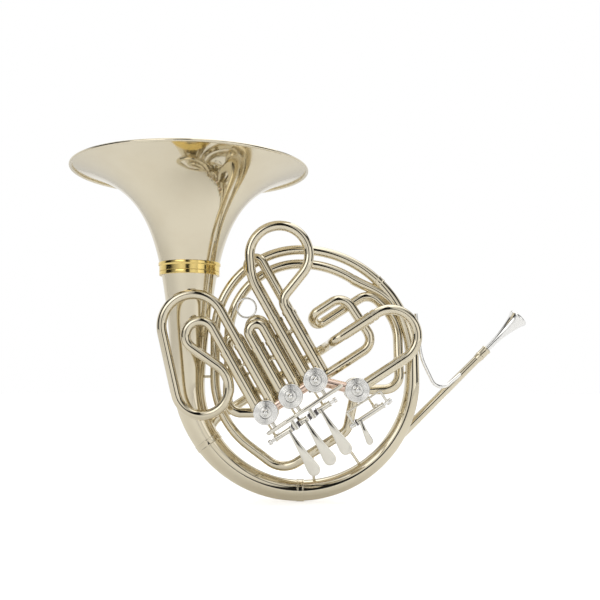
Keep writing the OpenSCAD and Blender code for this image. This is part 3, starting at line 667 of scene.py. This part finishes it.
def springs(finger_hinge, thumb_hinge):
    shape = Shape()
    for x0, x1, turns in ((4.3, 8.3, 4), (13.8, 18.2, 4), (-12.2, -5.3, 6), (-20.2, -17.8, 2)):
        coil_spring(shape, finger_hinge, x0 * MM, x1 * MM, turns)
    thumb_x = thumb_hinge.x - 24 * MM
    coil_spring(shape, thumb_hinge, thumb_x, thumb_x + 2.2 * MM, 2)
    shape.add("lever_coil_springs", SPRING, "spring_steel", "body", ["lever_springs"])


def hinge_rods(finger_hinge, thumb_hinge):
    """Hinge rods with a turned, grooved knob at each end."""
    shape = Shape()
    knob_r = 3.6 * MM
    knob = 4.2 * MM
    for hinge, x0, x1 in (
        (finger_hinge, *FINGER_ROD_X),
        (thumb_hinge, thumb_hinge.x + THUMB_ROD_X[0], thumb_hinge.x + THUMB_ROD_X[1]),
    ):
        place = along(row_at(x0, hinge.y, hinge.z), row_frame.to_3x3() @ Vector((1, 0, 0)))
        length = x1 - x0
        half = [(2 * MM, 0.2 * MM), (knob_r, 0), (knob_r, -1.4 * MM), (knob_r - 0.6 * MM, -1.8 * MM),
                (knob_r - 0.6 * MM, -2.2 * MM), (knob_r, -2.6 * MM), (knob_r * 0.8, -knob), (0, -knob)]
        far = [(r, length - z) for r, z in half]
        shape.lathe(rounded(half[::-1] + far, 0.3 * MM), place, 40)
    shape.add("hinge_rods_turned", SILVER, "spring_steel", "body", ["hinge_rods"])


# ---------- mouthpiece and receiver ----------

def mouthpiece():
    """A slim funnel-cup mouthpiece with a rounded rim."""
    out = Vector(joints["mouthpiece_pull"]["axis"])
    place = along(RECEIVER_END, out)
    outside = smooth_curve([
        (3.8, -17), (3.8, -6), (3.8, 0.5), (4.0, 8), (4.3, 18), (5.1, 27), (6.6, 36), (8.5, 44.5),
        (10.8, 53), (12.6, 57.2),
    ])
    rim = smooth_curve([(12.6, 57.2), (13.25, 58.9), (12.9, 60.9), (11.2, 62.0), (9.4, 61.6), (8.75, 60.4)])
    cup = smooth_curve([(8.75, 60.4), (8.0, 56), (6.6, 49), (4.6, 41), (2.6, 34), (2.3, 28)])
    bore = [(2.3, 10), (2.9, -17)]
    profile = [(r * MM, z * MM) for r, z in outside + rim[1:] + cup[1:] + bore]
    shape = Shape()
    shape.lathe(profile, place, 96)
    shape.add("mouthpiece_turned", SILVER, "silver_plate", "mouthpiece", ["mouthpiece"])

    inward = along(RECEIVER_END, -out)
    outline = [
        (3.85, 0), (5.9, 0), (6.6, 0.8), (6.6, 2.6), (6.0, 3.2), (6.0, 12.6), (6.4, 13.2), (6.4, 14.6),
        (5.9, 15.2), (5.6, 20), (3.85, 20),
    ]
    turned("receiver_sleeve", [(r * MM, z * MM) for r, z in outline], [inward], NICKEL, "nickel_silver",
           "body", ["mouthpiece_receiver"])


# ---------- ferrules and braces ----------

def wrap_ferrules():
    """Bands over the wrap's joints, with a bead along each edge."""
    shape = Shape()
    half = 4.5 * MM
    for s in (wrap_depth + wrap_r * 0.62, tail_end, branch_end):
        centre, across = wrap_state(s)
        way = across.cross(Vector((0, 1, 0)))
        r = wrap_tube_r(s)
        outline = [
            (r - 0.05 * MM, -half), (r + 1.1 * MM, -half),
            (r + 1.1 * MM, -half + 1.3 * MM), (r + 0.7 * MM, -half + 1.8 * MM),
            (r + 0.7 * MM, half - 1.8 * MM), (r + 1.1 * MM, half - 1.3 * MM),
            (r + 1.1 * MM, half), (r - 0.05 * MM, half),
        ]
        shape.lathe(rounded(outline, 0.3 * MM), along(centre, way), 96)
    shape.add("wrap_ferrules", NICKEL, "nickel_silver", "body", ["ferrules"])


def inner_arc_socket():
    """A curved socket that carries the inner arc's upper end into the wrap."""
    steps = 24
    first = math.radians(57)
    turn = math.radians(26)
    final_r = wrap_r - 5 * MM
    centres = []
    outward = []
    for k in range(steps + 1):
        share = k / steps
        a = first - turn * share
        out = Vector((math.cos(a), 0, math.sin(a)))
        swing = share ** 2 * (3 - 2 * share)
        centres.append(Vector((wrap_r, 0, wrap_top_z)) + out * (INNER_R + (final_r - INNER_R) * swing))
        outward.append(out)
    level = [Vector((0, 1, 0))] * (steps + 1)
    shape = Shape()
    shape.tube(centres, outward, level, [tube_r + 0.6 * MM] * (steps + 1))
    shape.add("inner_arc_socket", NICKEL, "nickel_silver", "body")


def deck_places():
    """Each valve's place at each deck, as (centre, way of the pull, across, offset, brace reach)."""
    places = []
    for deck, offset, reaches in DECKS:
        deck_low, deck_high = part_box(deck + "_slide_2")
        for i, reach in enumerate(reaches):
            way = Vector(joints[f"{deck}_slide_{i + 1}_pull"]["axis"])
            across = Vector((way.z, 0, -way.x))
            low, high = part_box(CASINGS[i])
            centre = (low + high) / 2
            centre.y = (deck_low.y + deck_high.y) / 2
            places.append((centre, way, across, offset, reach * MM))
    return places


def valve_entries():
    """The slide tubes' last few millimetres, cut to sit on the round casing."""
    shape = Shape()
    sides = 48
    seat_r = casing_r - 0.6 * MM
    top = casing_r - 0.9 * MM
    for centre, way, across, offset, _ in deck_places():
        for middle in (offset - LEG_PITCH / 2, offset + LEG_PITCH / 2):
            rings = [[], [], [], []]
            for k in range(sides):
                a = 2 * math.pi * k / sides
                for tube, r in ((0, SLEEVE_R), (1, SLEEVE_R - 0.6 * MM)):
                    u = middle + r * math.cos(a)
                    seat = math.sqrt(max(0.0, seat_r ** 2 - u ** 2))
                    base = centre + across * u + Vector((0, r * math.sin(a), 0))
                    rings[3 * tube].append(base + way * (top + 1.2 * MM))
                    rings[1 + tube].append(base + way * min(top, max(4 * MM, seat)))
            shape.grid(rings, close_ends=False)
    shape.add("valve_entry_tubes", NICKEL, "nickel_silver", "body")


def stand_bar(shape, start, end, half_w, half_t):
    """A rounded flat bar from start to end, both in the row's frame."""
    way = (end - start).normalized()
    face = Vector((0, -1, 0))
    side = way.cross(face)
    turn = row_frame.to_3x3()
    stations = []
    for share, size in ((0, 0.6), (0.02, 1), (0.98, 1), (1, 0.6)):
        centre = row_frame @ start.lerp(end, share)
        stations.append((centre, half_w * size, half_t * size, turn @ side, turn @ face))
    loft(shape, stations)


def lever_stand():
    """A slim bar along the valve row, with saddles over the hinge rod and lugs up to the casings."""
    hinge = hinge_place("finger_lever_1_press")
    thumb = hinge_place("thumb_lever_press")
    shape = Shape()
    bar_z = hinge.z + 10.5 * MM
    front_y = hinge.y - 4.2 * MM

    def bar(x0, y0, z0, x1, y1, z1, half_w, half_t):
        stand_bar(shape, Vector((x0, y0, z0)), Vector((x1, y1, z1)), half_w * MM, half_t * MM)

    bar(FINGER_ROD_X[0], hinge.y, bar_z, FINGER_ROD_X[1] + 20 * MM, hinge.y, bar_z, 2.5, 2.2)
    for x in SADDLE_XS:
        bar(x, front_y, hinge.z - 5 * MM, x, front_y, bar_z + 1 * MM, 2.4, 1.0)
        bar(x - 6 * MM, front_y, bar_z, x + 6 * MM, front_y, bar_z, 2.7, 1.2)
        bar(x, hinge.y, hinge.z + 2 * MM, x, hinge.y, bar_z, 2.2, 3.6)
    for node in CASINGS[:3]:
        low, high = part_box(node)
        place = to_row @ ((low + high) / 2)
        lug_y = hinge.y + 5 * MM
        bar(place.x, hinge.y + 1 * MM, bar_z, place.x, lug_y, bar_z + 1 * MM, 2.6, 2.2)
        bar(place.x, lug_y, bar_z - 1 * MM, place.x, lug_y, place.z - casing_r + 1 * MM, 2.4, 1.8)
    low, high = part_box(CASINGS[3])
    casing = to_row @ ((low + high) / 2)
    rail_z = casing.z - casing_r - 1.2 * MM
    for x in (thumb.x - 26.5 * MM, thumb.x + 23 * MM):
        bar(x, thumb.y, thumb.z - 3.5 * MM, x, thumb.y, rail_z, 1.6, 1.8)
    bar(thumb.x - 28 * MM, thumb.y + 4 * MM, rail_z, thumb.x + 24.5 * MM, thumb.y + 4 * MM, rail_z, 1.3, 3.4)
    shape.add("lever_stand_bars", LEVER_NICKEL, "silver_plate", "body", ["lever_stand"])


def slide_braces():
    """Short turned bars that hold each pair of outer slide tubes apart."""
    half = LEG_PITCH / 2 - SLEEVE_R + 0.5 * MM
    foot_r = 2.4 * MM
    bar_r = 1.2 * MM
    outline = [
        (0, -half), (foot_r, -half), (foot_r, 1.2 * MM - half), (bar_r, 1.7 * MM - half),
        (bar_r, half - 1.7 * MM), (foot_r, half - 1.2 * MM), (foot_r, half), (0, half),
    ]
    shape = Shape()
    for centre, way, across, offset, reach in deck_places():
        place = along(centre + way * reach + across * offset, across)
        shape.lathe(rounded(outline, 0.25 * MM), place, 32)
    shape.add("slide_brace_bars", NICKEL, "nickel_silver", "body")


# ---------- studio ----------

def studio():
    """Pale floor and soft lights."""
    floor_z = cad_low.z - 0.5 * MM
    floor_r = 5
    sides = 96
    mesh = bpy.data.meshes.new("floor")
    rim = [(floor_r * x, floor_r * y, floor_z) for x, y in arc((0, 0), 1, 0, 360 - 360 / sides, sides - 1)]
    mesh.from_pydata(rim, [], [tuple(range(sides))])
    floor = bpy.data.objects.new("floor", mesh)
    bpy.context.scene.collection.objects.link(floor)
    paint = bpy.data.materials.new("floor_paint")
    paint.use_nodes = True
    shader = paint.node_tree.nodes["Principled BSDF"]
    shader.inputs["Base Color"].default_value = (0.93, 0.93, 0.93, 1)
    shader.inputs["Roughness"].default_value = 0.9
    shader.inputs["Specular IOR Level"].default_value = 0.1
    shader.inputs["Emission Color"].default_value = (1, 1, 1, 1)
    # The camera sees a bright floor; the metal reflects a dimmer one
    path = paint.node_tree.nodes.new("ShaderNodeLightPath")
    glow = paint.node_tree.nodes.new("ShaderNodeMapRange")
    glow.inputs["To Min"].default_value = 0.16
    glow.inputs["To Max"].default_value = 0.62
    paint.node_tree.links.new(path.outputs["Is Camera Ray"], glow.inputs["Value"])
    paint.node_tree.links.new(glow.outputs["Result"], shader.inputs["Emission Strength"])
    mesh.materials.append(paint)

    middle = (cad_low + cad_high) / 2
    for name, place, size, power in (
        ("key", (-0.9, -1.3, 0.75), 0.9, 2.5),
        ("fill", (1.25, -1.1, 0.25), 0.8, 1.2),
        ("top", (0.1, 0.1, 1.3), 1.6, 7),
    ):
        data = bpy.data.lights.new(name, "AREA")
        data.size = size
        data.energy = power
        light = bpy.data.objects.new(name, data)
        light.location = middle + Vector(place)
        light.rotation_euler = (middle - light.location).to_track_quat("-Z", "Y").to_euler()
        bpy.context.scene.collection.objects.link(light)


def ramp_node(tree, stops):
    """A colour ramp of grey values from (position, value) pairs in rising order."""
    ramp = tree.nodes.new("ShaderNodeValToRGB")
    first, last = ramp.color_ramp.elements
    first.position, last.position = stops[0][0], stops[-1][0]
    first.color = (*[stops[0][1]] * 3, 1)
    last.color = (*[stops[-1][1]] * 3, 1)
    for position, value in stops[1:-1]:
        stop = ramp.color_ramp.elements.new(position)
        stop.color = (value, value, value, 1)
    return ramp


def light_tent():
    """White panels all round with dark gaps between them, which round metal shows as thin dark lines."""
    world = bpy.data.worlds.new("tent")
    bpy.context.scene.world = world
    world.use_nodes = True
    tree = world.node_tree
    make = tree.nodes.new
    link = tree.links.new
    where = make("ShaderNodeTexCoord")
    split = make("ShaderNodeSeparateXYZ")
    link(where.outputs["Generated"], split.inputs["Vector"])

    # Turn away from the camera's side, from 0 in front to 1 behind
    forward = make("ShaderNodeMath")
    forward.operation = "MULTIPLY"
    forward.inputs[1].default_value = -1
    link(split.outputs["Y"], forward.inputs[0])
    sideways = make("ShaderNodeMath")
    sideways.operation = "ABSOLUTE"
    link(split.outputs["X"], sideways.inputs[0])
    turn = make("ShaderNodeMath")
    turn.operation = "ARCTAN2"
    link(sideways.outputs["Value"], turn.inputs[0])
    link(forward.outputs["Value"], turn.inputs[1])
    share = make("ShaderNodeMath")
    share.operation = "DIVIDE"
    share.inputs[1].default_value = math.pi
    link(turn.outputs["Value"], share.inputs[0])
    round_panels = ramp_node(tree, [
        (0.0, 0.01), (0.036, 0.02), (0.05, 0.75), (0.13, 0.92), (0.27, 0.46), (0.34, 0.22),
        (0.37, 0.01), (0.50, 0.01), (0.53, 0.65), (0.70, 0.9), (1.0, 0.9),
    ])
    link(share.outputs["Value"], round_panels.inputs["Fac"])

    # Height, from 0 below to 1 overhead
    height = make("ShaderNodeMapRange")
    height.inputs["From Min"].default_value = -1
    height.inputs["From Max"].default_value = 1
    link(split.outputs["Z"], height.inputs["Value"])
    panel_rows = ramp_node(tree, [
        (0.0, 0.7), (0.47, 0.9), (0.52, 1.0), (0.76, 1.0),
        (0.785, 0.12), (0.81, 0.12), (0.835, 1.0), (1.0, 1.0),
    ])
    link(height.outputs["Result"], panel_rows.inputs["Fac"])

    panels = make("ShaderNodeMix")
    panels.data_type = "RGBA"
    panels.blend_type = "MULTIPLY"
    panels.inputs["Factor"].default_value = 1
    link(round_panels.outputs["Color"], panels.inputs["A"])
    link(panel_rows.outputs["Color"], panels.inputs["B"])
    tent = make("ShaderNodeBackground")
    link(panels.outputs["Result"], tent.inputs["Color"])
    backdrop = make("ShaderNodeBackground")
    backdrop.inputs["Color"].default_value = (1, 1, 1, 1)
    path = make("ShaderNodeLightPath")
    choose = make("ShaderNodeMixShader")
    link(path.outputs["Is Camera Ray"], choose.inputs["Fac"])
    link(tent.outputs["Background"], choose.inputs[1])
    link(backdrop.outputs["Background"], choose.inputs[2])
    link(choose.outputs["Shader"], tree.nodes["World Output"].inputs["Surface"])


def camera():
    """In front of the horn and level with its lower half, so that the bell's inside stays hidden."""
    middle = (cad_low + cad_high) / 2
    height = cad_high.z - cad_low.z
    distance = 1.1
    data = bpy.data.cameras.new("camera")
    data.sensor_width = 36
    data.lens = 50
    view = bpy.data.objects.new("camera", data)
    view.location = (middle.x, -distance, middle.z - 0.11 * height)
    aim = Vector((middle.x, 0, middle.z + 0.1 * height))
    view.rotation_euler = (aim - view.location).to_track_quat("-Z", "Y").to_euler()
    bpy.context.scene.collection.objects.link(view)
    bpy.context.scene.camera = view
    bpy.context.scene.view_settings.view_transform = "Standard"


dress_frame()
bell_flare()
bell_rings()
wrap_taper("bell_tail_tube", tail_start, tail_end, 120, "bell_tail")
wrap_taper("bell_branch_tube", tail_end, branch_end, 170, "bell_branch")
valve_caps()
valve_casings()
back_plates()
levers()
lever_furniture()
mouthpiece()
wrap_ferrules()
inner_arc_socket()
slide_braces()
valve_entries()
lever_stand()
studio()
light_tent()
camera()
